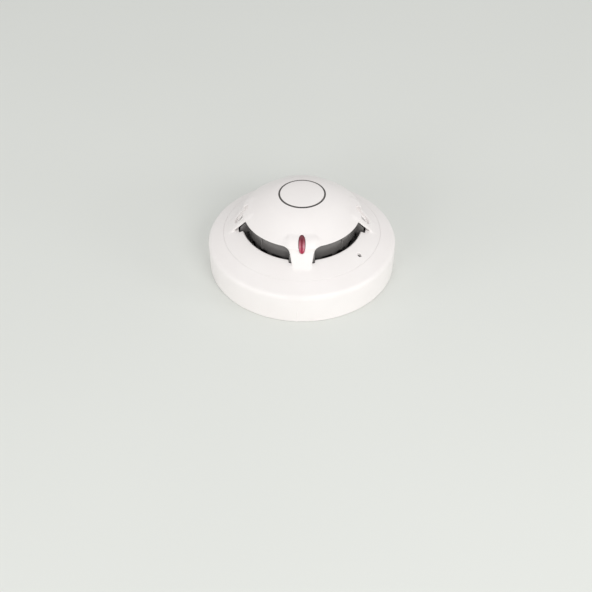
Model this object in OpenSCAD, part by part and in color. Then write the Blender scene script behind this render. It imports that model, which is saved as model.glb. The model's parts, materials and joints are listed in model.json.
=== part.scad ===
// Point fire detector: a twist-on sensing head in a deep round mounting base.
// Units are millimetres. The origin is the centre of the base's mounting plane
// and +Z points out of the ceiling or wall, through the middle of the dome.
// The indicator window faces -Y.

/* [Base] */
// Diameter of the base drum
base_d = 120; // [119:0.5:122]
// Height at which the drum wall turns into the sloping shoulder
base_wall_h = 17; // [16:0.5:17.5]
// Thickness of the base floor
floor_t = 2.4; // [2:0.1:2.6]
// Radius of the cable entry in the base floor
cable_r = 10; // [8:0.5:11]
// Distance between opposite fixing holes
fix_pitch = 60; // [58:1:61]
// Radius of a fixing hole
fix_r = 2.25; // [2:0.05:2.4]

/* [Head cover] */
// Height of the crown of the dome above the mounting plane
crown_z = 54.8; // [54:0.1:56]
// Radius of the opening edge of the skirt, below the windows
skirt_r = 38.2; // [38:0.1:38.6]
// Height of that edge
skirt_z = 31.5; // [31:0.1:32]
// Outer radius of the skirt, a running fit in the lip of the base
rim_r = 50.07; // [50.05:0.01:50.1]
// Slope of the skirt and the base shoulder, in degrees
slope = 28.6; // [27:0.2:29]
// Radius of the ring line on the crown
ring_r = 14.3; // [12:0.1:16]
// Width of the ring line
ring_w = 0.9; // [0.6:0.1:1.2]

/* [Indicator] */
// Length of the oval window
oval_len = 11.6; // [10:0.2:12]
// Width of the oval window
oval_w = 4.6; // [4:0.2:5]

/* [Lock] */
// Angle of the release hole, to the right of the front
lock_a = 52; // [50:1:54]
// Radius of the release hole in the skirt
lock_hole_r = 1.25; // [1:0.05:1.5]
// Travel of the lock plunger
lock_travel = 2.2; // [2:0.1:2.3]

/* [Hidden] */
$fn = 120;
e = 0.01;

base_r = base_d / 2;
tan_s = tan(slope);
lip_r = 50.15;                                    // inner lip of the base
lip_z = skirt_z - (lip_r - skirt_r) * tan_s;      // on the same cone as the skirt
function cone_z(r) = skirt_z - (r - skirt_r) * tan_s;
well_r = 47.6;                                    // wall of the well that takes the head
well_t = 1.8;
seat_z = 22.0;                                    // ledge behind the parting gap
lug_a = [20, 140, 260];                           // bayonet lugs, locked position
lock_r = 45.2;
lock_deg = -90 + lock_a;
term_a = [0, 90, 180, 270];
rib_a = [0, 90, 180, 270];
side_a = [0, 90, 180];
screw_a = [20, 140, 260];                         // screws of the back plate

// Smooth curve through a short list of points (Catmull-Rom), n steps a span.
function cr(p, i, t) =
  let (a = p[max(i - 1, 0)], b = p[i], c = p[i + 1], d = p[min(i + 2, len(p) - 1)])
  0.5 * ((2 * b) + (c - a) * t + (2 * a - 5 * b + 4 * c - d) * t * t
         + (3 * b - a - 3 * c + d) * t * t * t);
function smooth(p, n) = concat(
  [for (i = [0 : len(p) - 2]) for (k = [0 : n - 1]) cr(p, i, k / n)], [p[len(p) - 1]]);
function arc_pts(cx, cy, r, a0, a1, n) =
  [for (i = [0 : n]) [cx + r * cos(a0 + (a1 - a0) * i / n), cy + r * sin(a0 + (a1 - a0) * i / n)]];
function rev(p) = [for (i = [len(p) - 1 : -1 : 0]) p[i]];

// Crown and flank of the dome, from the axis to the window edge: radius, drop below the crown.
dome_key = [[0, 0], [8, 0.25], [14.3, 1.05], [20, 2.8], [25, 5.5], [30, 8.8], [34, 11.7], [37.3, 14.3]];
dome_c = [for (p = smooth(dome_key, 4)) if (p[0] > 1) [p[0], crown_z - p[1]]];
dome_out = concat([[0, dome_c[0][1]]], dome_c);    // the very middle is flat
dome_t = 1.9;
dome_ci = [for (p = dome_c) if (p[0] < 36.4) [p[0] * 0.968, p[1] - dome_t + 0.35 * p[0] / 37.3]];
dome_in = concat([[0, dome_ci[0][1]]], dome_ci);

// Outer line of a rib: it leaves the dome as a low shoulder and runs down to the skirt.
rib_key = [[29.6, 45.6], [32, 44.85], [34, 43.95], [35.6, 42.75], [36.9, 41.1], [38.4, 38.65], [44.9, 28.4]];
rib_line = smooth(rib_key, 4);
rib_t = 1.5;
// The ribs at the sides and the back are lower and carry an open pocket.
side_key = [[30.4, 45.0], [32, 44.1], [34, 42.35], [35.6, 40.5], [36.9, 38.9], [38.4, 37.05], [46.8, 26.6]];
side_line = smooth(side_key, 4);
side_t = 1.3;
side_deg = atan((37.05 - 26.6) / (46.8 - 38.4));

module ring_sector(r0, r1, z0, z1, a0, a1) {
  rotate([0, 0, a0]) rotate_extrude(angle = a1 - a0)
    translate([r0, z0]) square([r1 - r0, z1 - z0]);
}
module tube(r0, r1, z0, z1) {
  translate([0, 0, z0]) difference() {
    cylinder(r = r1, h = z1 - z0);
    translate([0, 0, -1]) cylinder(r = r0, h = z1 - z0 + 2);
  }
}
module at(r, a) { rotate([0, 0, a]) translate([r, 0, 0]) children(); }

// Solid of revolution below the ribs' outer line, moved in by d.
module rib_solid(d) {
  rotate_extrude() polygon(concat([[0, 20], [0, 45.45 - d]],
    [for (p = rib_line) [p[0] - d * 0.75, p[1] - d * 0.66]], [[45.4 - d, 27.2], [45.4 - d, 20]]));
}
// Upright oval block, square to the shoulder of a rib; h0 and h1 are its ends along that normal.
module oval(l, w, h0, h1) {
  translate([35, 0, 41.5]) rotate([0, 43.6, 0]) translate([0, 0, h0]) linear_extrude(h1 - h0) {
    square([l - w, w], center = true);
    for (s = [-1, 1]) translate([s * (l - w) / 2, 0]) circle(d = w);
  }
}
// The same kind of block, square to the lower slope of a side rib.
module side_block(l, w, h0, h1, square_end = false) {
  translate([38.2, 0, 37.3]) rotate([0, side_deg, 0]) translate([0, 0, h0]) linear_extrude(h1 - h0)
    if (square_end) square([l, w], center = true);
    else {
      square([l - w, w], center = true);
      for (s = [-1, 1]) translate([s * (l - w) / 2, 0]) circle(d = w);
    }
}
// Plan outline of a rib: it narrows from the dome to the skirt.
module rib_plan() {
  translate([0, 0, 20]) linear_extrude(32) polygon([
    [26, -9.4], [33, -9.2], [37.3, -8.6], [42.8, -6.75], [45.4, -6.2], [48, -6.1],
    [48, 6.1], [45.4, 6.2], [42.8, 6.75], [37.3, 8.6], [33, 9.2], [26, 9.4]]);
}

// ---------- base ----------

module bayonet_ledge(a) {
  ring_sector(43.9, well_r + 0.9, 12.4, 14.2, a - 11, a + 8);
  ring_sector(43.9, well_r + 0.9, 9.2, 14.2, a - 14.6, a - 11.6);
}

module terminal_post(a) {
  at(30, a) translate([-4.5, -5.5, 0]) cube([9, 11, 5]);
  at(36, a) translate([-1.6, -4.5, 0]) cube([1.6, 9, 6.6]);
}

module base_shell() {
  fr = 4.5;
  color([0.95, 0.94, 0.92]) difference() {
    union() {
      rotate_extrude() polygon(concat(
        [[0, 0], [well_r + well_t, 0], [well_r + well_t, 19.4], [51, cone_z(51) - 2.4],
         [55, cone_z(55) - 2.4]],
        [[56.6, 18.4], [57.5, 16.6], [57.2, 0]],
        arc_pts(base_r - 1.2, 0.8, 0.8, -90, 0, 6),
        arc_pts(base_r - fr, base_wall_h, fr, 0, 90 - slope, 10),
        [[lip_r, cone_z(lip_r)], [lip_r, seat_z], [well_r, seat_z], [well_r, floor_t], [0, floor_t]]));
      for (a = term_a) terminal_post(a);
      for (a = lug_a) bayonet_ledge(a);
      // stiffening webs between the well and the drum wall
      for (i = [0 : 11]) rotate([0, 0, 15 + i * 30]) translate([well_r + well_t - 0.3, -0.7, 0.6])
        cube([8.4, 1.4, 15.4]);
      // pads around the fixing holes
      for (a = [45, 135, 225, 315]) at(fix_pitch / 2, a) cylinder(r = 5, h = 3.4);
      // pad under the earth strip
      translate([-9, 36.2, 0]) cube([18, 7, 4.2]);
      // guide tube of the lock plunger
      at(lock_r, lock_deg) cylinder(r = 3.3, h = 7.4);
      // raised edge around the cable entry
      tube(cable_r, cable_r + 1.6, 0, floor_t);
      // alignment mark and moulding nib at the front of the drum
      rotate([0, 0, -92.6]) translate([base_r - 1.2, -0.4, 3]) cube([1.35, 0.8, 5.5]);
      rotate([0, 0, -93.2]) translate([base_r - 1.6, -0.8, 0]) cube([1.6, 1.6, 0.9]);
    }
    translate([0, 0, -1]) cylinder(r = cable_r, h = 12);
    for (a = [45, 135, 225, 315]) at(fix_pitch / 2, a) {
      translate([0, 0, -1]) cylinder(r = fix_r, h = 12);
      translate([0, 0, 2.6]) cylinder(r = 4, h = 2);
    }
    for (a = term_a) at(30, a) translate([0, 0, 0.8]) cylinder(r = 1.65, h = 10);
    for (x = [-5, 5]) translate([x, 39.7, 0.8]) cylinder(r = 1.45, h = 10);
    at(lock_r, lock_deg) {
      translate([0, 0, -1]) cylinder(r = 2.55, h = 7.6);
      translate([0, 0, -1]) cylinder(r = 2.05, h = 12);
    }
  }
}

// Sprung leaf: a foot under the clamp screw, a rise and a rounded wiping tip.
module contact_spring(a) {
  color([0.80, 0.62, 0.34]) rotate([0, 0, a]) difference() {
    translate([30, 0, 0]) rotate([90, 0, 0]) translate([0, 0, -3]) union() {
      linear_extrude(6) polygon(concat(
        [[3.9, 5], [3.9, 5.5], [-4.4, 5.5]],
        [[-6.4, 7.7]], arc_pts(-7.9, 7.2, 1.55, 30, 150, 8), [[-9.9, 6.9], [-9.5, 6.65]],
        arc_pts(-7.9, 7.1, 1.1, 150, 30, 8), [[-4.75, 5]]));
    }
    translate([30, 0, 4]) cylinder(r = 1.85, h = 3);
  }
}

module terminal_clamps() {
  color([0.78, 0.78, 0.76]) for (a = term_a) at(30, a) difference() {
    translate([-3.4, -3.4, 5.5]) cube([6.8, 6.8, 0.8]);
    translate([0, 0, 5]) cylinder(r = 1.85, h = 3);
  }
}

module pan_screw(shank_r, head_r, z0, z1, z2, cross = 1) {
  difference() {
    union() {
      translate([0, 0, z0]) cylinder(r = shank_r, h = z1 - z0 + e);
      translate([0, 0, z1]) cylinder(r = head_r, h = z2 - z1 - 0.4);
      translate([0, 0, z2 - 0.4]) cylinder(r1 = head_r, r2 = head_r - 0.5, h = 0.4);
    }
    for (q = [0, 90]) rotate([0, 0, q])
      translate([-head_r * 0.6 * cross, -0.3, z2 - 0.8]) cube([head_r * 1.2 * cross, 0.6, 2]);
  }
}

module terminal_screws() {
  color([0.75, 0.75, 0.74]) for (a = term_a) at(30, a) pan_screw(1.6, 2.8, 1.2, 6.3, 8.3);
}

module earth_strip() {
  color([0.82, 0.68, 0.36]) difference() {
    translate([-8.5, 36.6, 4.2]) cube([17, 6.2, 1]);
    for (x = [-5, 5]) translate([x, 39.7, 3]) cylinder(r = 1.65, h = 4);
  }
}

module earth_screws() {
  color([0.75, 0.75, 0.74]) for (x = [-5, 5]) translate([x, 39.7, 0]) pan_screw(1.4, 2.5, 1.2, 5.2, 7);
}

module lock_plug() {
  color([0.93, 0.92, 0.90]) at(lock_r, lock_deg) translate([0, 0, 0.4]) cylinder(r = 2.54, h = 1.3);
}

// Wire helix swept as a tube of square-free rings; it closes on itself at both ends.
module lock_spring() {
  R = 1.08; w = 0.17; turns = 7; per = 14; z0 = 1.7 + w; z1 = 8.3 - w;
  n = turns * per;
  pts = [for (i = [0 : n]) let (a = 360 * i / per, z = z0 + (z1 - z0) * i / n)
    for (k = [0 : 5]) [(R + w * cos(k * 60)) * cos(a), (R + w * cos(k * 60)) * sin(a), z + w * sin(k * 60)]];
  fs = concat([[5, 4, 3, 2, 1, 0]],
    [for (i = [0 : n - 1]) for (k = [0 : 5]) let (p = i * 6 + k, q = i * 6 + (k + 1) % 6)
      [p, q, q + 6, p + 6]],
    [[for (k = [0 : 5]) n * 6 + k]]);
  color([0.72, 0.72, 0.72]) at(lock_r, lock_deg) polyhedron(pts, [for (f = fs) rev(f)], convexity = 12);
}

module lock_plunger() {
  color([0.62, 0.20, 0.14]) at(lock_r, lock_deg) difference() {
    union() {
      translate([0, 0, 4.8]) cylinder(r = 2.5, h = 1.5);
      translate([0, 0, 6.2]) cylinder(r = 2, h = 3.4);
      translate([0, 0, 9.5]) cylinder(r = 0.95, h = 2.1);
    }
    translate([0, 0, 4]) cylinder(r = 1.4, h = 4.3);
  }
}

// ---------- head, seen from outside ----------

module head_cover() {
  color([0.96, 0.95, 0.94]) difference() {
    union() {
      // dome
      rotate_extrude() polygon(concat(dome_out, rev(dome_in)));
      // skirt, rim and the tube that goes down into the base
      rotate_extrude() polygon([
        [skirt_r, skirt_z], [rim_r, cone_z(rim_r)], [rim_r, 22.4], [48.1, 22.4], [48.1, cone_z(48.1) - 2.2],
        [43.2, cone_z(43.2) - 2.2], [43.2, 12], [41.2, 12], [41.2, cone_z(41.2) - 2.2],
        [skirt_r - 0.9, cone_z(skirt_r - 0.9) - 2.3]]);
      // front rib, which carries the indicator
      rotate([0, 0, -90]) intersection() {
        rib_plan();
        rotate_extrude() polygon(concat(rib_line, [[45.4, 27.3], [43.9, 27.0]],
          rev([for (p = rib_line) [p[0] - rib_t * 0.845, p[1] - rib_t * 0.535]])));
      }
      // three ribs with pockets, and the floors of the pockets
      for (a = side_a) rotate([0, 0, a]) {
        intersection() {
          rib_plan();
          rotate_extrude() polygon(concat(side_line, [[46.1, 26.2]],
            rev([for (p = side_line) [p[0] - side_t * 0.77, p[1] - side_t * 0.64]])));
        }
        side_block(15.6, 8, -2.9, -1.0, true);
      }
      // bosses for the screws that hold the back plate
      for (a = screw_a) at(38.3, a) translate([0, 0, 12.3]) cylinder(r = 3.3, h = 9.1);
    }
    // oval for the indicator at the front
    rotate([0, 0, -90]) oval(oval_len + 0.2, oval_w + 0.2, -3.2, 4);
    // pocket and slot in the other ribs
    for (a = side_a) rotate([0, 0, a]) {
      side_block(14.2, 5.4, -1.6, 6);
      side_block(8.4, 1.1, -4, 0);
    }
    // groove for the ring line
    tube(ring_r - ring_w / 2, ring_r + ring_w / 2, crown_z - 1.75, crown_z + 1);
    // release hole through the skirt
    at(lock_r, lock_deg) translate([0, 0, 20]) cylinder(r = lock_hole_r, h = 14);
    // the skirt edge is cut back below every rib, a little wider than the rib
    for (a = rib_a) rotate([0, 0, a]) intersection() {
      translate([34, -9.1, 25]) cube([9, 18.2, 6.9]);
      translate([0, 0, 24]) cylinder(r = 40.4, h = 10);
    }
    // passage for the light guide behind the front rib
    at(36.2, -90) translate([0, 0, 20]) cylinder(r = 1.6, h = 13.4);
    // pilot holes for the back plate screws
    for (a = screw_a) at(38.3, a) translate([0, 0, 11]) cylinder(r = 1.15, h = 9);
  }
}

module ring_inlay() {
  color([0.24, 0.22, 0.21]) intersection() {
    tube(ring_r - ring_w / 2, ring_r + ring_w / 2, crown_z - 1.75, crown_z + 1);
    rotate_extrude() polygon(concat([[0, 40]], [for (p = dome_out) [p[0], p[1] - 0.04]], [[37.3, 40]]));
  }
}

// Red oval with the light guide that brings the light up from the board.
module indicator_lens() {
  color([0.62, 0.05, 0.06]) rotate([0, 0, -90]) union() {
    intersection() { oval(oval_len, oval_w, -1.8, 4); rib_solid(0.12); }
    translate([36.2, 0, 18.6]) cylinder(r = 1.2, h = 20.6);
  }
}

// ---------- head, inside ----------

module chamber_shroud() {
  color([0.05, 0.05, 0.055]) difference() {
    union() {
      rotate_extrude() polygon([
        [32.8, 19], [34.5, 19], [34.5, 22], [40.8, 22], [40.8, 23.2], [34.5, 23.2],
        [34.5, 38.4], [33.4, 39.5], [27, 42.8], [24.6, 43.4], [0, 43.4],
        [0, 42.1], [24.2, 42.1], [26.6, 41.5], [31.6, 38.9], [32.8, 37.8]]);
      // two cheeks behind every rib
      for (a = rib_a) rotate([0, 0, a]) for (s = [-1, 1])
        translate([0, s * 7 + 0.8, 0]) rotate([90, 0, 0]) linear_extrude(1.6)
          polygon([[33.2, 22.6], [36, 22.6], [36.4, 27.4], [38.9, 28.6], [38.9, 32.6], [35.9, 36.2], [34.2, 38], [33.2, 38]]);
      // slim bar down the middle of every window
      for (a = [45, 135, 225, 315]) rotate([0, 0, a]) translate([34.2, -0.5, 23]) cube([1.1, 1, 14.6]);
    }
    // ports low in the drum wall, where the air goes in
    for (i = [0 : 19]) rotate([0, 0, 9 + i * 18]) translate([30, -3.6, 24]) cube([4.8, 7.2, 5.2]);
    at(36.2, -90) translate([0, 0, 15]) cylinder(r = 1.5, h = 12);
    // clearance around the thermistor leads
    for (a = [54, 126]) rotate([0, 0, a]) translate([36.1, 0, 15]) cylinder(r = 1.4, h = 12);
    // flats on the shoulder, behind the pockets of the side and back ribs
    for (a = side_a) rotate([0, 0, a]) side_block(16.4, 8.8, -3.2, 3, true);
  }
}

module insect_screen() {
  color([0.30, 0.30, 0.31]) tube(31.9, 32.2, 21.1, 37.2);
}

module labyrinth() {
  color([0.07, 0.07, 0.075]) union() {
    tube(20, 31, 21, 21.8);
    translate([0, 0, 39.6]) cylinder(r = 27.5, h = 1);
    for (i = [0 : 17]) rotate([0, 0, i * 20]) {
      translate([24, 0, 21.5]) rotate([0, 0, 38]) translate([0, -0.4, 0]) cube([6.2, 0.8, 18.4]);
      translate([24, 0, 21.5]) rotate([0, 0, 118]) translate([-0.4, -0.4, 0]) cube([4.4, 0.8, 18.4]);
    }
  }
}

module optics_holder() {
  color([0.07, 0.07, 0.075]) difference() {
    union() {
      translate([0, 0, 19]) cylinder(r = 32.6, h = 2);
      for (s = [-1, 1]) rotate([0, 0, s * 65]) translate([0, 13.5, 20.5]) translate([-4.2, -5, 0]) cube([8.4, 10, 10]);
      for (a = [90, 210, 330]) at(29.5, a) translate([0, 0, 15.6]) cylinder(r = 2, h = 4);
    }
    for (s = [-1, 1]) rotate([0, 0, s * 65]) translate([0, 13.5, 25.5]) rotate([90, 0, 0])
      translate([0, 0, -8]) cylinder(r = 2.6, h = 16);
  }
}

module round_led(r, flange, len, legs) {
  cylinder(r = r, h = len);
  translate([0, 0, len]) intersection() {
    sphere(r = r);
    translate([-r, -r, -e]) cube([2 * r, 2 * r, r + 1]);
  }
  cylinder(r = flange, h = 1);
  for (s = [-1, 1]) translate([s * 1.27, 0, -legs]) cylinder(r = 0.25, h = legs + e);
}

module ir_emitter() {
  color([0.25, 0.28, 0.45]) rotate([0, 0, 65]) translate([0, 19.6, 25.5]) rotate([90, 0, 0]) round_led(2.5, 2.9, 6, 2.5);
}
module photodiode() {
  color([0.12, 0.12, 0.14]) rotate([0, 0, -65]) translate([0, 19.6, 25.5]) rotate([90, 0, 0]) round_led(2.5, 2.9, 6, 2.5);
}

module thermistor(a) {
  color([0.22, 0.15, 0.10]) rotate([0, 0, a]) translate([36.1, 0, 0]) union() {
    translate([0, 0, 34.6]) sphere(r = 1.05);
    translate([0, 0, 32.6]) cylinder(r = 0.75, h = 2);
    for (s = [-1, 1]) translate([0, s * 0.45, 15.6]) cylinder(r = 0.22, h = 17.6);
  }
}

module pcb_outline(z0, t) {
  difference() {
    translate([0, 0, z0]) cylinder(r = 40.6, h = t);
    for (a = screw_a) at(38.3, a) translate([0, 0, z0 - 1]) cylinder(r = 3.7, h = t + 2);
  }
}
module main_pcb() {
  color([0.10, 0.38, 0.22]) pcb_outline(14, 1.6);
}

module chip(x, y, q, l, w, h, legs) {
  translate([x, y, 15.6]) rotate([0, 0, q]) {
    translate([-l / 2, -w / 2, 0.15]) cube([l, w, h]);
    for (s = [-1, 1]) for (i = [0 : legs - 1])
      translate([-(legs - 1) * 0.635 + i * 1.27 - 0.2, s > 0 ? w / 2 - 0.3 : -w / 2 - 0.9, 0]) cube([0.4, 1.2, 0.5]);
  }
}
module pcb_chips() {
  color([0.09, 0.09, 0.10]) {
    chip(-13, 6, 0, 10, 6, 1.6, 7);
    chip(12, 7, 90, 6, 4.6, 1.5, 4);
    chip(4, -18, 0, 6, 4.6, 1.5, 4);
  }
}
module pcb_capacitors() {
  color([0.16, 0.18, 0.24]) for (a = [0, 180, 236]) at(37, a) {
    translate([0, 0, 15.6]) cylinder(r = 2.2, h = 0.8);
    translate([0, 0, 16.3]) cylinder(r = 2, h = 4.6);
  }
}
module pcb_resistors() {
  color([0.13, 0.12, 0.12]) for (p = [[-24, 4, 90], [-24, -4, 90], [-20, -14, 0], [-12, -20, 0],
    [20, -10, 90], [22, -4, 90], [24, 12, 0], [8, 20, 0], [0, 24, 0], [-8, 22, 90], [-16, 16, 0], [14, -20, 90]])
    translate([p[0], p[1], 15.6]) rotate([0, 0, p[2]]) translate([-1, -0.6, 0]) cube([2, 1.2, 0.6]);
}
module indicator_led() {
  color([0.85, 0.80, 0.78]) at(36.2, -90) {
    translate([-1.6, -1.6, 15.6]) cube([3.2, 3.2, 1.2]);
    translate([0, 0, 16.8]) cylinder(r = 1.2, h = 1);
  }
}
module shield_can() {
  color([0.74, 0.74, 0.73]) translate([-6, -7, 15.6]) difference() {
    cube([12, 11, 2.6]);
    translate([0.4, 0.4, -1]) cube([11.2, 10.2, 3.2]);
  }
}

module back_plate() {
  color([0.90, 0.89, 0.87]) difference() {
    union() {
      translate([0, 0, 10]) cylinder(r = 43.2, h = 2);
      for (a = lug_a) ring_sector(41.5, 46.9, 10.1, 11.9, a - 11, a + 9);
      // flange that the lock plunger stands in
      ring_sector(41.5, 47.2, 10.1, 11.9, lock_deg - 26, lock_deg + 5);
      for (a = [45, 135, 225, 315]) at(24, a) translate([0, 0, 11.5]) cylinder(r = 2.2, h = 2.5);
    }
    ring_sector(43.9, 46.5, 9, 13, lock_deg - 22.6, lock_deg + 2.2);
    for (a = screw_a) at(38.3, a) translate([0, 0, 8]) {
      cylinder(r = 1.3, h = 6);
      translate([0, 0, 0]) cylinder(r = 2.9, h = 2.4);
    }
    // slots for the tails of the contact blades
    for (a = term_a) rotate([0, 0, a + 4]) translate([28.9, -1.6, 9]) cube([1.2, 3.2, 4]);
  }
}

module contact_blades() {
  color([0.80, 0.70, 0.42]) for (a = term_a) {
    ring_sector(19.2, 26, 9.3, 10, a - 30, a + 10);
    ring_sector(25.5, 30.4, 9.3, 10, a - 3, a + 11);
    rotate([0, 0, a + 4]) translate([29, -1.5, 9.6]) cube([1, 3, 4.4]);
  }
}

module head_screws() {
  color([0.70, 0.70, 0.69]) for (a = screw_a) at(38.3, a)
    translate([0, 0, 28.4]) rotate([180, 0, 0]) pan_screw(1.1, 2.3, 10, 18, 19.8);
}

base_shell();
contact_spring(0);  // contact_spring_right
contact_spring(90);  // contact_spring_back
contact_spring(180);  // contact_spring_left
contact_spring(270);  // contact_spring_front
terminal_clamps();
terminal_screws();
earth_strip();
earth_screws();
lock_plug();
lock_spring();
lock_plunger();
head_cover();
ring_inlay();
indicator_lens();
chamber_shroud();
insect_screen();
labyrinth();
optics_holder();
ir_emitter();
photodiode();
thermistor(126);  // thermistor_left
thermistor(54);  // thermistor_right
main_pcb();
pcb_chips();
pcb_capacitors();
pcb_resistors();
indicator_led();
shield_can();
back_plate();
contact_blades();
head_screws();
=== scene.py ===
import bpy, bmesh, json, math
import numpy as np
import openvdb as vdb
from mathutils import Vector, Matrix


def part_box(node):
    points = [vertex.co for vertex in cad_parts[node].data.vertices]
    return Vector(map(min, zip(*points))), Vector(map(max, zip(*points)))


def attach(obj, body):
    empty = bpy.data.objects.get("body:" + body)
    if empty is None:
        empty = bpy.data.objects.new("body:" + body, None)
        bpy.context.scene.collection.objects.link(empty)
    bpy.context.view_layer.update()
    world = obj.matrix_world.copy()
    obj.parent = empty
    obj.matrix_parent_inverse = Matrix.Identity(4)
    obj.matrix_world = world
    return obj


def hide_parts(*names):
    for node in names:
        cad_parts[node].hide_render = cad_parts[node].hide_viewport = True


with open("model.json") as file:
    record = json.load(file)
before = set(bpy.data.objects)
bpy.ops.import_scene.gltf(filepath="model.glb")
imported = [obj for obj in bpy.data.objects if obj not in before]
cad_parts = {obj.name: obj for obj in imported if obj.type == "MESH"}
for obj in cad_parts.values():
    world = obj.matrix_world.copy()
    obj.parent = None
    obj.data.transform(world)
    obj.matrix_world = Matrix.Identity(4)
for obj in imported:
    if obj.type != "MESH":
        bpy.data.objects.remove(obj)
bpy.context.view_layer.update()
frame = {"nodes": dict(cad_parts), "record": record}
MM = 0.001
scene = bpy.context.scene
scene.view_settings.view_transform = "Standard"
NODES = frame["nodes"]

# ---------------------------------------------------------------- camera
cam_data = bpy.data.cameras.new("camera")
cam_data.sensor_width = 36.0
cam_data.lens = 66.32
cam_data.clip_start = 0.01
cam_data.clip_end = 20
cam = bpy.data.objects.new("camera", cam_data)
scene.collection.objects.link(cam)
cam.location = (0.0, -0.5500, 0.4580)
aim = Vector((-0.00381, 0.0, -0.03164))
cam.rotation_euler = (aim - cam.location).to_track_quat("-Z", "Y").to_euler()
scene.camera = cam

# ---------------------------------------------------------------- shapes as distance fields (mm)


def smin(a, b, k):
    h = np.maximum(k - np.abs(a - b), 0.0) / k
    return np.minimum(a, b) - h * h * k * 0.25


def smax(a, b, k):
    return -smin(-a, -b, k)


def catmull(key, n=24):
    p = np.array(key, float)
    out = []
    for i in range(len(p) - 1):
        a, b, c, d = p[max(i - 1, 0)], p[i], p[i + 1], p[min(i + 2, len(p) - 1)]
        for t in np.linspace(0, 1, n, endpoint=False):
            out.append(0.5 * (2 * b + (c - a) * t + (2 * a - 5 * b + 4 * c - d) * t * t + (3 * b - a - 3 * c + d) * t ** 3))
    out.append(p[-1])
    return np.array(out)


class Profile:
    """A height profile z(r), read as a distance measured square to it."""

    def __init__(self, key, smooth=3.0):
        q = catmull(key)
        r = np.arange(q[0, 0], q[-1, 0] + 0.02, 0.02)
        z = np.interp(r, q[:, 0], q[:, 1])
        k = max(int(smooth / 0.02) | 1, 3)
        pad = k // 2
        zz = np.concatenate([2 * z[0] - z[1:pad + 1][::-1] if q[0, 0] > 0.5 else z[1:pad + 1][::-1], z, 2 * z[-1] - z[-pad - 1:-1][::-1]])
        w = np.hanning(k + 2)[1:-1]
        w /= w.sum()
        z = np.convolve(zz, w, "valid")
        self.r, self.z = r, z
        self.s = np.gradient(z, r)

    def d(self, r, z):
        r0, r1 = self.r[0], self.r[-1]
        zc = np.interp(r, self.r, self.z)
        sl = np.interp(r, self.r, self.s)
        zc = zc + np.where(r > r1, (r - r1) * self.s[-1], 0.0) + np.where(r < r0, (r - r0) * self.s[0], 0.0)
        return (z - zc) / np.sqrt(1 + sl * sl)


def field_mesh(name, f, lo, hi, h, adapt=0.0, iters=4):
    """Closed mesh of f(x, y, z) = 0, with its points moved onto the surface itself and normals from it."""
    n = [int(math.ceil((hi[i] - lo[i]) / h)) + 1 for i in range(3)]
    ax = [lo[i] + h * np.arange(n[i]) for i in range(3)]
    A = np.empty(n, np.float32)
    step = max(1, int(1.5e6 // (n[1] * n[2])))
    for i in range(0, n[0], step):
        X, Y, Z = np.meshgrid(ax[0][i:i + step], ax[1], ax[2], indexing="ij")
        A[i:i + step] = f(X, Y, Z)
    A = np.clip(A, -3 * h, 3 * h).astype(np.float32)
    for s in (np.s_[0], np.s_[-1], np.s_[:, 0], np.s_[:, -1], np.s_[:, :, 0], np.s_[:, :, -1]):
        A[s] = np.maximum(A[s], 0.2 * h)
    g = vdb.FloatGrid(3 * h)
    g.copyFromArray(A)
    g.transform = vdb.createLinearTransform(voxelSize=h)
    if adapt > 0:
        pts, tris, quads = g.convertToPolygons(isovalue=0.0, adaptivity=adapt)
    else:
        pts, quads = g.convertToQuads(isovalue=0.0)
        tris = np.zeros((0, 3), int)
    P = pts.astype(np.float64) + np.array(lo)
    start = P.copy()
    e = 0.012

    def grad(P):
        x, y, z = P.T
        return np.stack([f(x + e, y, z) - f(x - e, y, z), f(x, y + e, z) - f(x, y - e, z), f(x, y, z + e) - f(x, y, z - e)], 1) / (2 * e)

    for _ in range(iters):
        G = grad(P)
        gg = (G * G).sum(1)
        step_v = -(f(*P.T) / np.maximum(gg, 0.05))[:, None] * G
        L = np.linalg.norm(step_v, axis=1)
        step_v *= np.minimum(1.0, 0.3 * h / np.maximum(L, 1e-9))[:, None]
        P = P + step_v
    move = P - start
    L = np.linalg.norm(move, axis=1)
    P = start + move * np.minimum(1.0, 0.7 * h / np.maximum(L, 1e-9))[:, None]
    me = bpy.data.meshes.new(name)
    faces = [tuple(q) for q in quads.tolist()] + [tuple(t) for t in tris.tolist()]
    me.from_pydata((P * MM).tolist(), [], faces)
    me.update()
    vol = 0.0
    co = P
    q = quads[: min(len(quads), 40000)]
    if len(q):
        a, b, c = co[q[:, 0]], co[q[:, 1]], co[q[:, 2]]
        nrm = np.cross(b - a, c - a)
        G = grad((a + b + c) / 3)
        vol = float((nrm * G).sum())
    if vol < 0:
        me.flip_normals()
    me.shade_smooth()
    N = grad(P)
    N /= np.maximum(np.linalg.norm(N, axis=1), 1e-9)[:, None]
    me.normals_split_custom_set_from_vertices(N.tolist())
    me.validate()
    ob = bpy.data.objects.new(name, me)
    scene.collection.objects.link(ob)
    print(name, "points", len(P), "faces", len(me.polygons))
    return ob


# Design sizes, in mm, tied to the CAD boxes.
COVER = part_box("head_cover")
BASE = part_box("base_shell")
CROWN = COVER[1][2] * 1000
SLOPE = math.radians(28.6)
SK_R, SK_Z = 38.2, 31.5
TAN, COS, SIN = math.tan(SLOPE), math.cos(SLOPE), math.sin(SLOPE)
RIM = 50.11
BASE_R = 60.0
LOCK = math.radians(-38)
LOCK_R = 45.2
HX, HY = LOCK_R * math.cos(LOCK), LOCK_R * math.sin(LOCK)


def cone(r):
    return SK_Z - (r - SK_R) * TAN


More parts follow.
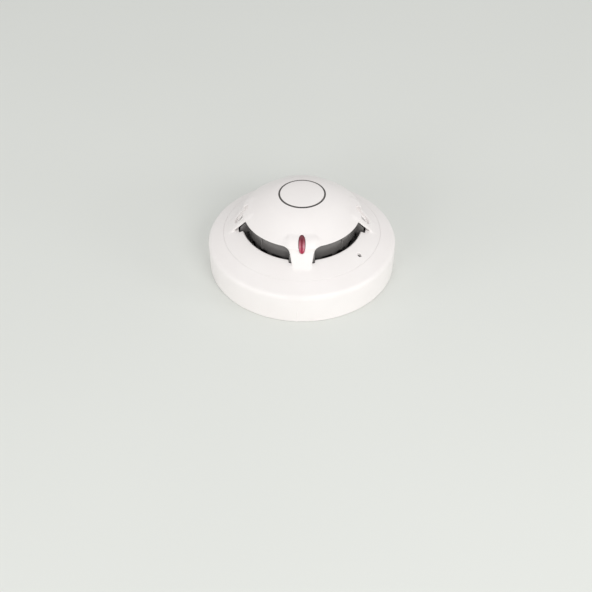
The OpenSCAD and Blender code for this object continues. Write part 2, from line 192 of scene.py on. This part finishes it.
dome_key = [(0, CROWN), (8, CROWN - 0.25), (14.3, CROWN - 1.05), (20, CROWN - 2.8), (25, CROWN - 5.5), (30, CROWN - 8.8), (34, CROWN - 11.7), (37.3, CROWN - 14.3), (40, CROWN - 16.5)]
DOME = Profile(dome_key, 5.0)
RIB = Profile([(29.6, 45.55), (32, 44.75), (34, 43.85), (35.6, 42.65), (36.9, 41.0), (38.4, 38.4), (43.8, 28.4), (44.8, 26.55)], 2.4)
SIDE = Profile([(30.4, 45.2), (32, 44.3), (34, 42.5), (35.6, 40.6), (36.9, 38.95), (38.4, 37.05), (46.8, 26.6), (47.6, 25.6)], 2.4)
SIDE_A = math.atan((37.05 - 26.6) / (46.8 - 38.4))
W_U = np.array([26, 33, 37.3, 42.8, 45.4])
W_V = np.array([9.4, 9.2, 8.6, 6.75, 6.2])


def fold(x, y):
    ax, ay = np.abs(x), np.abs(y)
    return np.maximum(ax, ay), np.minimum(ax, ay)


def oval_field(u, v, z, a, b):
    c, s = math.cos(math.radians(43.6)), math.sin(math.radians(43.6))
    p = (u - 35) * c - (z - 41.5) * s
    n = (u - 35) * s + (z - 41.5) * c
    e = 2.25
    k = (np.abs(p / a) ** e + np.abs(v / b) ** e + 1e-9) ** (1 / e)
    return (k - 1) * b, n


def side_frame(u, z):
    c, s = math.cos(SIDE_A), math.sin(SIDE_A)
    return (u - 38.2) * c - (z - 37.3) * s, (u - 38.2) * s + (z - 37.3) * c


def blend_k(r, k):
    """The blend between dome and rib grows from nothing at the rib's root."""
    t = np.clip((r - 29.5) / 6.0, 0, 1)
    return 0.05 + k * t * t * (3 - 2 * t)


def slot_field(p, v, half_l, half_w):
    """Distance to a long hole with round ends."""
    return np.hypot(np.maximum(np.abs(p) - (half_l - half_w), 0), v) - half_w


def f_cover(x, y, z):
    r = np.hypot(x, y)
    u, v = fold(x, y)
    front = (-y > np.abs(x))
    # dome shell with a rounded lower lip
    d_o = DOME.d(r, z)
    ca, sa = math.cos(math.radians(60)), math.sin(math.radians(60))
    lip = (r - 37.3) * ca - (z - (CROWN - 14.3)) * sa
    dome = smax(smax(d_o, -(d_o + 1.9), 0.3), lip, 0.6)
    # ribs: the front one carries the indicator, the others are lower and have a pocket
    side = (v + np.where(front, 0.9, 0.0) - np.interp(u, W_U, W_V)) * 0.955
    low = np.maximum(28.6 - r, -((z - cone(r)) * COS + 1.6))
    d_r = RIB.d(r, z)
    rib = np.maximum(smax(smax(smax(d_r, -(d_r + 1.5), 0.4), side, 1.5), r - 45.2, 0.7), low)
    d_s2 = SIDE.d(r, z)
    rib2 = np.maximum(smax(smax(smax(d_s2, -(d_s2 + 1.3), 0.4), side, 1.5), r - 47.0, 0.7), low)
    sp, sn = side_frame(u, z)
    floor_b = smax(smax(np.abs(v) - 4.4, np.abs(sp) - 7.8, 0.4), np.abs(sn + 1.8) - 0.8, 0.3)
    rib2 = np.minimum(rib2, floor_b)
    body = np.where(front, smin(dome, rib, blend_k(r, 4.2)), smin(dome, rib2, blend_k(r, 3.2)))
    pocket = smax(slot_field(sp, v, 7.4, 3.5), -(sn + 1.7), 0.4)
    slit = smax(slot_field(sp - 1.6, v, 4.3, 1.7), -(sn + 4.0), 0.1)
    body = np.where(front, body, smax(smax(body, -pocket, 0.4), -slit, 0.1))
    # skirt
    d_s = (z - cone(r)) * COS
    edge = -((r - SK_R) * COS - (z - SK_Z) * SIN)
    skirt = smax(smax(d_s, -(d_s + 2.0), 0.3), edge, 0.9)
    skirt = smax(skirt, r - RIM, 0.06)
    rim = smax(smax(smax(np.abs(r - 49.08) - 0.99, 22.4 - z, 0.3), d_s + 0.3, 0.3), r - RIM, 0.2)
    tube = smax(smax(np.abs(r - 42.2) - 1.0, 12.0 - z, 0.4), d_s + 0.3, 0.3)
    skirt = np.minimum(skirt, np.minimum(rim, tube))
    notch = smax(v - np.where(front, 8.0, 9.1), r - np.where(front, 40.0, 40.5), 0.6)
    notch = np.maximum(notch, 25.0 - z)
    skirt = smax(skirt, -notch, 0.4)
    body = smin(body, skirt, 0.9)
    # bosses behind the skirt
    for a in (20, 140, 260):
        bx, by = 38.3 * math.cos(math.radians(a)), 38.3 * math.sin(math.radians(a))
        q = np.hypot(x - bx, y - by)
        boss = smax(smax(q - 3.3, 12.0 - z, 0.3), z - 21.4, 0.3)
        body = np.minimum(body, boss)
        body = smax(body, -smax(q - 1.15, z - 20.0, 0.1), 0.15)
    # oval opening for the indicator
    k, n = oval_field(u, v, z, 5.8, 2.2)
    hole = smax(k, -(n + 3.4), 0.2)
    body = np.where(front, smax(body, -hole, 0.18), body)
    # release hole
    q = np.hypot(x - HX, y - HY) - 1.25
    body = smax(body, -np.maximum(q, 20 - z), 0.35)
    # room for the light guide
    q = np.hypot(x, y + 36.2) - 1.6
    body = smax(body, -smax(q, z - 33.0, 0.3), 0.2)
    return body


def f_lens(x, y, z):
    u, v = -y, np.abs(x)
    r = np.hypot(x, y)
    k, n = oval_field(u, v, z, 5.75, 2.15)
    d_r = RIB.d(r, z)
    d_o = DOME.d(r, z)
    surf = smin(d_r, d_o, blend_k(r, 4.2)) + 0.16
    # a shallow raised bead down the middle of the window
    head = smax(smax(surf - 0.28 * np.clip(-k / 2.28, 0, 1), k, 0.5), -(n + 1.8), 0.3)
    stalk = smax(smax(np.hypot(x, y + 36.2) - 1.2, 18.6 - z, 0.2), z - 39.2, 0.2)
    return smin(head, stalk, 0.5)


def f_shroud(x, y, z):
    r = np.hypot(x, y)
    u, v = fold(x, y)
    c1, s1 = math.cos(math.radians(45)), math.sin(math.radians(45))
    t2 = math.atan2(3.3, 6.4)
    out = smax(smax(smax(r - 34.5, z - 43.4, 1.2), (r - 34.5) * s1 + (z - 38.4) * c1, 1.0),
               (r - 33.4) * math.sin(t2) + (z - 39.5) * math.cos(t2), 1.0)
    shell = smax(smax(out, -(out + 1.7), 0.2), 19 - z, 0.2)
    fl = smax(np.abs(z - 22.6) - 0.6, smax(r - 40.8, 33.6 - r, 0.2), 0.3)
    d = smin(shell, fl, 0.8)
    # slim bar down the middle of every window
    xa, ya = np.abs(x), np.abs(y)
    along, across = (xa + ya) / math.sqrt(2), (xa - ya) / math.sqrt(2)
    bar = smax(smax(np.abs(across) - 0.5, np.abs(along - 34.7) - 0.6, 0.3), np.abs(z - 30.3) - 7.3, 0.5)
    d = smin(d, bar, 0.5)
    # two cheeks behind every rib
    la = ((u - 38.9) * 3.6 + (z - 32.6) * 3.0) / math.hypot(3.6, 3.0)
    lb = ((u - 36.4) * 1.2 - (z - 27.4) * 2.5) / math.hypot(1.2, 2.5)
    part1 = np.maximum(np.maximum(u - 36.2, 33.2 - u), np.maximum(22.6 - z, z - 38.0))
    part2 = np.maximum(np.maximum(lb, 33.2 - u), np.maximum(27.4 - z, z - 38.0))
    cheek = smax(smax(smax(np.minimum(part1, part2), la, 0.3), u - 38.9, 0.3), np.abs(v - 7.0) - 0.8, 0.4)
    d = smin(d, cheek, 0.4)
    # ports low in the wall
    th = np.arctan2(y, x)
    st = math.radians(18)
    th = np.mod(th - math.radians(9) + st / 2, st) - st / 2
    port = smax(np.abs(r * np.sin(th)) - 3.6, np.abs(z - 26.6) - 2.6, 1.0)
    port = np.maximum(port, np.abs(r - 33.6) - 1.6)
    d = smax(d, -port, 0.3)
    q = np.hypot(x, y + 36.2) - 1.5
    d = smax(d, -np.maximum(q, z - 27.0), 0.2)
    for a in (54, 126):
        q = np.hypot(x - 36.1 * math.cos(math.radians(a)), y - 36.1 * math.sin(math.radians(a))) - 1.4
        d = smax(d, -np.maximum(q, z - 27.0), 0.2)
    return d


# ---------------------------------------------------------------- mesh helpers


def link(name, me):
    ob = bpy.data.objects.new(name, me)
    scene.collection.objects.link(ob)
    return ob


def lathe(name, prof, seg=240, closed=True, phase=0.0):
    """Solid of revolution from a closed outline of (radius, height) points in mm, in order."""
    bm = bmesh.new()
    rings = []
    for r, z in prof:
        if r < 1e-6:
            rings.append([bm.verts.new((0, 0, z * MM))])
        else:
            rings.append([bm.verts.new((r * MM * math.cos(phase + 2 * math.pi * i / seg), r * MM * math.sin(phase + 2 * math.pi * i / seg), z * MM)) for i in range(seg)])
    m = len(rings)
    for j in range(m if closed else m - 1):
        a, b = rings[j], rings[(j + 1) % m]
        if len(a) == 1 and len(b) == 1:
            continue
        for i in range(seg):
            k = (i + 1) % seg
            if len(a) == 1:
                bm.faces.new((a[0], b[k], b[i]))
            elif len(b) == 1:
                bm.faces.new((a[i], a[k], b[0]))
            else:
                bm.faces.new((a[i], a[k], b[k], b[i]))
    bmesh.ops.recalc_face_normals(bm, faces=bm.faces)
    me = bpy.data.meshes.new(name)
    bm.to_mesh(me)
    bm.free()
    return link(name, me)


def prism(name, pts, z0, z1, mat=None):
    """Closed upright block from a plan outline in mm."""
    bm = bmesh.new()
    lo = [bm.verts.new((x * MM, y * MM, z0 * MM)) for x, y in pts]
    hi = [bm.verts.new((x * MM, y * MM, z1 * MM)) for x, y in pts]
    n = len(pts)
    bm.faces.new(lo[::-1])
    bm.faces.new(hi)
    for i in range(n):
        bm.faces.new((lo[i], lo[(i + 1) % n], hi[(i + 1) % n], hi[i]))
    bmesh.ops.recalc_face_normals(bm, faces=bm.faces)
    if mat is not None:
        bm.transform(mat)
    me = bpy.data.meshes.new(name)
    bm.to_mesh(me)
    bm.free()
    return link(name, me)


def box_pts(x0, x1, y0, y1):
    return [(x0, y0), (x1, y0), (x1, y1), (x0, y1)]


def circle_pts(r, n=48, cx=0.0, cy=0.0):
    return [(cx + r * math.cos(2 * math.pi * i / n), cy + r * math.sin(2 * math.pi * i / n)) for i in range(n)]


def sector_pts(r0, r1, a0, a1, n=16):
    A = [math.radians(a0 + (a1 - a0) * i / n) for i in range(n + 1)]
    return [(r1 * math.cos(a), r1 * math.sin(a)) for a in A] + [(r0 * math.cos(a), r0 * math.sin(a)) for a in reversed(A)]


def rotz(deg):
    return Matrix.Rotation(math.radians(deg), 4, "Z")


def merge(obs, name):
    """One object from several; its parts stay closed solids of their own."""
    bm = bmesh.new()
    for o in obs:
        bm.from_mesh(o.data)
    me = bpy.data.meshes.new(name)
    bm.to_mesh(me)
    bm.free()
    for o in obs:
        bpy.data.objects.remove(o, do_unlink=True)
    return link(name, me)


def apply_mods(ob):
    dg = bpy.context.evaluated_depsgraph_get()
    dg.update()
    me = bpy.data.meshes.new_from_object(ob.evaluated_get(dg), preserve_all_data_layers=True, depsgraph=dg)
    ob.modifiers.clear()
    ob.data = me


def boolean(ob, other, op, self_use=False):
    m = ob.modifiers.new("b", "BOOLEAN")
    m.operation = op
    m.solver = "EXACT"
    m.use_self = self_use
    m.object = other
    apply_mods(ob)
    bpy.data.objects.remove(other, do_unlink=True)


def soften(ob, width=0.2, segs=2, angle=35):
    m = ob.modifiers.new("bevel", "BEVEL")
    m.width = width * MM
    m.segments = segs
    m.limit_method = "ANGLE"
    m.angle_limit = math.radians(angle)
    m.harden_normals = False
    apply_mods(ob)


def smooth(ob, angle=35):
    ob.data.shade_smooth()
    ob.data.set_sharp_from_angle(angle=math.radians(angle))


# ---------------------------------------------------------------- materials


class Mat:
    def __init__(self, name):
        self.m = bpy.data.materials.new(name)
        self.m.use_nodes = True
        self.t = self.m.node_tree
        self.b = next(n for n in self.t.nodes if n.type == "BSDF_PRINCIPLED")
        self.co = self.t.nodes.new("ShaderNodeTexCoord").outputs["Object"]

    def n(self, kind, **kw):
        node = self.t.nodes.new(kind)
        for k, v in kw.items():
            if hasattr(node, k):
                setattr(node, k, v)
        return node

    def link(self, a, b):
        self.t.links.new(a, b)

    def noise(self, scale, detail=4, rough=0.55, co=None):
        n = self.n("ShaderNodeTexNoise")
        n.inputs["Scale"].default_value = scale
        n.inputs["Detail"].default_value = detail
        n.inputs["Roughness"].default_value = rough
        self.link(co or self.co, n.inputs["Vector"])
        return n.outputs["Fac"]

    def ramp(self, fac, stops):
        n = self.n("ShaderNodeValToRGB")
        el = n.color_ramp.elements
        while len(el) < len(stops):
            el.new(0.5)
        for e, (p, c) in zip(el, stops):
            e.position = p
            e.color = (*c, 1) if len(c) == 3 else c
        self.link(fac, n.inputs["Fac"])
        return n.outputs["Color"]

    def mapr(self, fac, a, b, lo, hi):
        n = self.n("ShaderNodeMapRange")
        n.inputs["From Min"].default_value = a
        n.inputs["From Max"].default_value = b
        n.inputs["To Min"].default_value = lo
        n.inputs["To Max"].default_value = hi
        self.link(fac, n.inputs["Value"])
        return n.outputs["Result"]

    def mix(self, fac, a, b):
        n = self.n("ShaderNodeMix")
        n.data_type = "RGBA"
        if isinstance(fac, (int, float)):
            n.inputs["Factor"].default_value = fac
        else:
            self.link(fac, n.inputs["Factor"])
        for sock, val in ((n.inputs[6], a), (n.inputs[7], b)):
            if isinstance(val, tuple):
                sock.default_value = (*val, 1)
            else:
                self.link(val, sock)
        return n.outputs[2]

    def bump(self, fac, strength, dist):
        n = self.n("ShaderNodeBump")
        n.inputs["Strength"].default_value = strength
        n.inputs["Distance"].default_value = dist
        self.link(fac, n.inputs["Height"])
        last = self.b.inputs["Normal"].links
        if last:
            self.link(last[0].from_socket, n.inputs["Normal"])
        self.link(n.outputs["Normal"], self.b.inputs["Normal"])
        return n

    def set(self, **kw):
        for k, v in kw.items():
            self.b.inputs[k.replace("_", " ")].default_value = v


def plastic(name, lo, hi, r0=0.3, r1=0.4, grain=1400, gs=0.05, coat=0.0):
    m = Mat(name)
    big = m.noise(45, 3, 0.5)
    m.link(m.ramp(big, [(0.3, lo), (0.7, hi)]), m.b.inputs["Base Color"])
    m.link(m.mapr(m.noise(160, 4, 0.6), 0.3, 0.7, r0, r1), m.b.inputs["Roughness"])
    m.bump(m.noise(grain, 2, 0.5), gs, 0.00006)
    m.bump(m.noise(70, 2, 0.5), 0.03, 0.0004)
    m.b.inputs["IOR"].default_value = 1.5
    if coat:
        m.b.inputs["Coat Weight"].default_value = coat
        m.b.inputs["Coat Roughness"].default_value = 0.12
    return m


def metal(name, lo, hi, r0, r1, brushed=0.0):
    m = Mat(name)
    m.link(m.ramp(m.noise(180, 5, 0.6), [(0.3, lo), (0.7, hi)]), m.b.inputs["Base Color"])
    m.link(m.mapr(m.noise(420, 5, 0.6), 0.3, 0.7, r0, r1), m.b.inputs["Roughness"])
    m.b.inputs["Metallic"].default_value = 1.0
    m.bump(m.noise(900, 4, 0.6), 0.08, 0.00005)
    return m


mats = {}
mats["white_shell"] = plastic("white_shell", (0.85, 0.815, 0.805), (0.872, 0.842, 0.832), 0.30, 0.40, 1600, 0.05).m
mats["white_inner"] = plastic("white_inner", (0.74, 0.725, 0.70), (0.78, 0.765, 0.74), 0.45, 0.6, 900, 0.10).m
mats["dark_ring"] = plastic("dark_ring", (0.042, 0.037, 0.034), (0.058, 0.052, 0.048), 0.40, 0.55, 2500, 0.10).m
mats["black_optics"] = plastic("black_optics", (0.010, 0.010, 0.011), (0.018, 0.018, 0.019), 0.5, 0.7, 900, 0.12).m
mats["red_brown_plastic"] = plastic("red_brown_plastic", (0.28, 0.045, 0.028), (0.34, 0.06, 0.035), 0.35, 0.5, 1200, 0.08).m
mats["chip_black"] = plastic("chip_black", (0.012, 0.012, 0.013), (0.022, 0.022, 0.023), 0.5, 0.65, 2500, 0.15).m

# painted reflection: the base colour is a mid grey, several times lighter than the near-black plastic, standing in
# for the reflections on the glossy drum
m = plastic("black_moulding", (0.115, 0.109, 0.106), (0.145, 0.138, 0.135), 0.18, 0.28, 900, 0.03, 0.5)
mats["black_moulding"] = m.m

# red window: deep red, darker towards both ends, with two brighter bands along its length that are painted
# highlights, and a dark rim round its edge that is painted shade
m = Mat("red_lens")
sep = m.n("ShaderNodeSeparateXYZ")
m.link(m.co, sep.inputs[0])
absx = m.n("ShaderNodeMath", operation="ABSOLUTE")
m.link(sep.outputs["X"], absx.inputs[0])
along = m.mapr(sep.outputs["Z"], 0.0368, 0.0462, 0, 1)
stripe = m.ramp(along, [(0.0, (0.50, 0.008, 0.05)), (0.35, (0.31, 0.014, 0.05)), (0.72, (0.20, 0.012, 0.03)), (1.0, (0.12, 0.010, 0.02))])
# painted highlight: the two brighter bands, brightest at mid-length
painted_highlight = m.ramp(along, [(0.0, (0.52, 0.012, 0.06)), (0.28, (0.55, 0.06, 0.12)), (0.5, (0.58, 0.22, 0.28)), (0.68, (0.46, 0.14, 0.18)), (0.84, (0.18, 0.02, 0.035)), (1.0, (0.11, 0.010, 0.02))])
across = m.mapr(absx.outputs[0], 0.0, 0.0022, 0, 1)
centre_and_highlight = m.mix(m.ramp(across, [(0.14, (0, 0, 0)), (0.42, (1, 1, 1))]), stripe, painted_highlight)
# painted shade: a dark rim round the edge of the window
lens_col_with_rim_shade = m.mix(m.ramp(across, [(0.66, (0, 0, 0)), (0.95, (1, 1, 1))]), centre_and_highlight, (0.17, 0.03, 0.045))
var = m.ramp(m.noise(900, 3, 0.5), [(0.3, (0.85, 0.85, 0.85)), (0.7, (1, 1, 1))])
mul2 = m.n("ShaderNodeMix")
mul2.data_type = "RGBA"
mul2.blend_type = "MULTIPLY"
mul2.inputs["Factor"].default_value = 1.0
m.link(lens_col_with_rim_shade, mul2.inputs[6])
m.link(var, mul2.inputs[7])
m.link(mul2.outputs[2], m.b.inputs["Base Color"])
m.link(m.mapr(m.noise(500, 3, 0.5), 0.3, 0.7, 0.22, 0.3), m.b.inputs["Roughness"])
m.bump(m.noise(1500, 2, 0.5), 0.04, 0.00004)
m.set(Coat_Weight=0.15, Coat_Roughness=0.15, IOR=1.45)
mats["red_lens"] = m.m

mats["plated_steel"] = metal("plated_steel", (0.60, 0.60, 0.60), (0.72, 0.72, 0.71), 0.22, 0.38).m
mats["contact_bronze"] = metal("contact_bronze", (0.72, 0.47, 0.20), (0.82, 0.58, 0.28), 0.22, 0.36).m
mats["can_aluminium"] = metal("can_aluminium", (0.66, 0.67, 0.69), (0.75, 0.76, 0.78), 0.28, 0.42).m
mats["screen_steel"] = metal("screen_steel", (0.09, 0.09, 0.095), (0.16, 0.16, 0.165), 0.35, 0.5).m

m = Mat("board_green")
m.link(m.ramp(m.noise(260, 5, 0.6), [(0.42, (0.010, 0.095, 0.045)), (0.5, (0.018, 0.15, 0.07)), (0.58, (0.012, 0.11, 0.05))]), m.b.inputs["Base Color"])
vor = m.n("ShaderNodeTexVoronoi")
vor.inputs["Scale"].default_value = 420
m.link(m.co, vor.inputs["Vector"])
m.bump(vor.outputs["Distance"], 0.08, 0.00005)
m.link(m.mapr(m.noise(300, 3, 0.5), 0.3, 0.7, 0.22, 0.34), m.b.inputs["Roughness"])
mats["board_green"] = m.m

mats["emitter_blue"] = plastic("emitter_blue", (0.05, 0.06, 0.16), (0.07, 0.085, 0.20), 0.10, 0.18, 1500, 0.03, 0.3).m
mats["led_clear"] = plastic("led_clear", (0.72, 0.66, 0.62), (0.80, 0.74, 0.70), 0.15, 0.25, 1500, 0.03, 0.2).m
mats["bead_glass"] = plastic("bead_glass", (0.10, 0.045, 0.022), (0.16, 0.075, 0.035), 0.12, 0.2, 1500, 0.05, 0.4).m


def paint(ob, slot):
    ob.data.materials.clear()
    ob.data.materials.append(mats[slot])


# every CAD node gets its finish
for sp in frame["record"]["subparts"]:
    o = NODES[sp["node"]]
    if not o.material_slots:
        o.data.materials.append(mats[sp["material_slot"]])
    for s in o.material_slots:
        s.link = "OBJECT"
        s.material = mats[sp["material_slot"]]


def place(ob, body, slot, *nodes):
    paint(ob, slot)
    if nodes:
        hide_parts(*nodes)
    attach(ob, body)
    return ob


# ---------------------------------------------------------------- head cover
h = 0.42
cover = field_mesh("head_cover_moulding", f_cover, (-51, -51, 11.0), (51, 51, 56), h, 0.0)
place(cover, "head", "white_shell", "head_cover")

lens = field_mesh("indicator_window", f_lens, (-3, -42, 18), (3, -28, 47.5), 0.16, 0.0)
place(lens, "head", "red_lens", "indicator_lens")

shroud = field_mesh("chamber_drum", f_shroud, (-42, -42, 18), (42, 42, 45), 0.46, 0.0)
place(shroud, "head", "black_moulding", "chamber_shroud")

# ring line on the crown: a slim inlaid ring, a hair proud of the dome
rr = np.linspace(14.3 - 0.54, 14.3 + 0.54, 9)
zz = np.interp(rr, DOME.r, DOME.z)
top = [(float(a), float(b + 0.10 - 0.05 * (abs(i - 4) / 4) ** 3)) for i, (a, b) in enumerate(zip(rr, zz))]
ring = lathe("crown_ring", top + [(14.8, float(zz[-1]) - 0.7), (13.8, float(zz[0]) - 0.7)], 288)
smooth(ring, 50)
place(ring, "head", "dark_ring", "ring_inlay")

# ---------------------------------------------------------------- base


def arc(cx, cz, r, a0, a1, n):
    return [(cx + r * math.cos(math.radians(a0 + (a1 - a0) * i / n)), cz + r * math.sin(math.radians(a0 + (a1 - a0) * i / n))) for i in range(n + 1)]


LIP = 50.15
wall_h, fr = 17.0, 4.5
outline = [(0, 0), (10.0, 0), (20, 0), (30, 0), (40, 0), (48.9, 0)] + arc(48.9, 0.5, 0.5, -90, 0, 4)
outline += [(49.4, z) for z in (4, 8, 12, 16, 18.8)] + [(49.6, 19.8), (50.1, 20.9), (51.0, cone(51) - 2.4), (53, cone(53) - 2.4), (55, cone(55) - 2.4)]
outline += [(56.1, 19.0), (57.0, 17.8), (57.5, 16.2), (57.46, 12), (57.38, 8), (57.3, 4), (57.22, 0.4), (57.6, 0.0), (58.2, 0.0)]
outline += arc(58.8, 0.8, 0.8, -90, 0, 8)
n_wall = 10
outline += [(59.6 + 0.4 * (z - 0.8) / (wall_h - 0.8), z) for z in np.linspace(2.2, wall_h - 1.4, n_wall)]
outline += arc(BASE_R - fr, wall_h, fr, 0, 61.4, 16)
outline += [(r, cone(r)) for r in np.linspace(56.4, LIP + 0.3, 8)]
outline += arc(LIP + 0.05, cone(LIP + 0.05) - 0.056, 0.05, 61.4, 180, 5)
outline += [(LIP, 24.2), (LIP, 22.15), (49.9, 22.0), (48.2, 22.0), (47.75, 21.95), (47.6, 21.7), (47.6, 17), (47.6, 12), (47.6, 7), (47.6, 3.2), (47.4, 2.6), (46.9, 2.4), (40, 2.4), (30, 2.4), (20, 2.4), (10, 2.4), (0, 2.4)]
base = lathe("base_moulding", outline, 288)

adds = []
for i in range(12):
    adds.append(prism("w", box_pts(49.1, 57.6, -0.7, 0.7), 0.6, 16.0, rotz(15 + i * 30)))
for a in (45, 135, 225, 315):
    adds.append(prism("p", circle_pts(5, 40, 30, 0), 2.0, 3.4, rotz(a)))
adds.append(prism("e", box_pts(-9, 9, 36.2, 43.2), 2.0, 4.2))
adds.append(prism("g", circle_pts(3.3, 40, LOCK_R, 0), 2.0, 7.4, rotz(-38)))
for a in (0, 90, 180, 270):
    adds.append(prism("t", box_pts(25.5, 34.5, -5.5, 5.5), 2.0, 5.0, rotz(a)))
    adds.append(prism("t2", box_pts(34.4, 36, -4.5, 4.5), 2.0, 6.6, rotz(a)))
for a in (20, 140, 260):
    adds.append(prism("l", sector_pts(43.9, 48.4, a - 11, a + 8), 12.4, 14.2))
    adds.append(prism("l2", sector_pts(43.9, 48.4, a - 14.6, a - 11.2), 9.2, 14.2))
add = merge(adds, "adds")
soften(add, 0.25, 2, 40)
boolean(base, add, "UNION", True)
cuts = [prism("c", circle_pts(10, 96), -2, 8)]
for a in (45, 135, 225, 315):
    cuts.append(prism("c", circle_pts(2.25, 40, 30, 0), -2, 8, rotz(a)))
    cuts.append(prism("c", circle_pts(4.0, 40, 30, 0), 2.6, 8, rotz(a)))
for a in (0, 90, 180, 270):
    cuts.append(prism("c", circle_pts(1.65, 32, 30, 0), 0.8, 8, rotz(a)))
for x in (-5, 5):
    cuts.append(prism("c", circle_pts(1.45, 32, x, 39.7), 0.8, 8))
cuts.append(prism("c", circle_pts(2.55, 40, LOCK_R, 0), -2, 6.6, rotz(-38)))
cuts.append(prism("c", circle_pts(2.05, 40, LOCK_R, 0), 5, 10, rotz(-38)))
cut = merge(cuts, "cuts")
boolean(base, cut, "DIFFERENCE", True)
smooth(base, 32)
place(base, "root", "white_shell", "base_shell")

# alignment mark: a slim raised bar with rounded ends, and the moulding nib under it


def pad(name, w, hgt, zc, deg, proud, embed=0.5, rnd=0.35):
    """A low rounded bar lying on the drum wall."""
    nx, nz = 12, 28
    bm = bmesh.new()
    grid = []
    for j in range(nz + 1):
        row = []
        for i in range(nx + 1):
            s = (i / nx - 0.5) * w
            t = (j / nz - 0.5) * hgt
            ex = max(0.0, abs(s) - (w / 2 - rnd)) / rnd
            ez = max(0.0, abs(t) - (hgt / 2 - rnd)) / rnd
            q = min(1.0, math.hypot(ex, ez))
            out = proud * math.sqrt(max(0.0, 1 - q * q)) - (0.08 if q >= 0.999 else 0.0)
            z = zc + t
            R = 59.6 + 0.4 * (z - 0.8) / (wall_h - 0.8) + out
            a = math.radians(deg) + s / R
            row.append(bm.verts.new((R * MM * math.cos(a), R * MM * math.sin(a), z * MM)))
        grid.append(row)
    back = []
    for j in (0, nz):
        for i in (0, nx):
            s = (i / nx - 0.5) * w
            z = zc + (j / nz - 0.5) * hgt
            a = math.radians(deg) + s / 59
            back.append(bm.verts.new(((59.2 - embed) * MM * math.cos(a), (59.2 - embed) * MM * math.sin(a), z * MM)))
    for j in range(nz):
        for i in range(nx):
            bm.faces.new((grid[j][i], grid[j][i + 1], grid[j + 1][i + 1], grid[j + 1][i]))
    b00, b01, b10, b11 = back
    bm.faces.new([b00, b01] + grid[0][::-1])
    bm.faces.new([b11, b10] + grid[nz])
    bm.faces.new([b10, b00] + [grid[j][0] for j in range(nz + 1)])
    bm.faces.new([b01, b11] + [grid[j][nx] for j in range(nz, -1, -1)])
    bm.faces.new([b00, b10, b11, b01])
    bmesh.ops.recalc_face_normals(bm, faces=bm.faces)
    me = bpy.data.meshes.new(name)
    bm.to_mesh(me)
    bm.free()
    ob = link(name, me)
    smooth(ob, 60)
    return ob


mark = pad("alignment_mark", 0.85, 5.4, 5.75, -92.6, 0.14)
place(mark, "root", "white_shell")
nib = pad("moulding_nib", 1.3, 0.8, 0.62, -93.2, 0.2, 0.5, 0.3)
place(nib, "root", "white_shell")

# ---------------------------------------------------------------- floor and light
bm = bmesh.new()
bmesh.ops.create_grid(bm, x_segments=24, y_segments=24, size=3.0)
me = bpy.data.meshes.new("floor")
bm.to_mesh(me)
bm.free()
floor = link("floor", me)
floor.location = (0, 0, BASE[0][2] - 0.00005)
fm = Mat("floor_paper")
fm.link(fm.ramp(fm.noise(3, 2, 0.5), [(0.3, (0.745, 0.765, 0.735)), (0.7, (0.765, 0.785, 0.755))]), fm.b.inputs["Base Color"])
fm.b.inputs["Roughness"].default_value = 0.6
floor.data.materials.append(fm.m)

world = bpy.data.worlds.new("studio")
scene.world = world
world.use_nodes = True
bg = next(n for n in world.node_tree.nodes if n.type == "BACKGROUND")
bg.inputs["Color"].default_value = (1.0, 0.995, 0.985, 1)
bg.inputs["Strength"].default_value = 0.61


def area(name, loc, target, size, power, color=(1, 1, 1)):
    d = bpy.data.lights.new(name, "AREA")
    d.shape = "RECTANGLE"
    d.size, d.size_y = size
    d.energy = power
    d.color = color
    o = bpy.data.objects.new(name, d)
    scene.collection.objects.link(o)
    o.location = loc
    o.rotation_euler = (Vector(target) - Vector(loc)).to_track_quat("-Z", "Y").to_euler()
    return o


area("key", (0.50, -0.95, 0.72), (0, 0, 0.03), (0.55, 0.55), 4.4, (1.0, 0.99, 0.98))
area("fill", (-0.60, -0.95, 0.42), (0, 0, 0.03), (0.5, 0.35), 2.5, (1.0, 0.995, 0.99))
area("top", (0.0, 0.75, 0.95), (0, 0.1, 0.0), (0.9, 0.9), 1.4)
area("side_right", (1.0, -0.45, 0.30), (0, 0, 0.02), (0.4, 0.4), 2.3)
area("side_left", (-1.0, -0.45, 0.30), (0, 0, 0.02), (0.4, 0.4), 1.6)
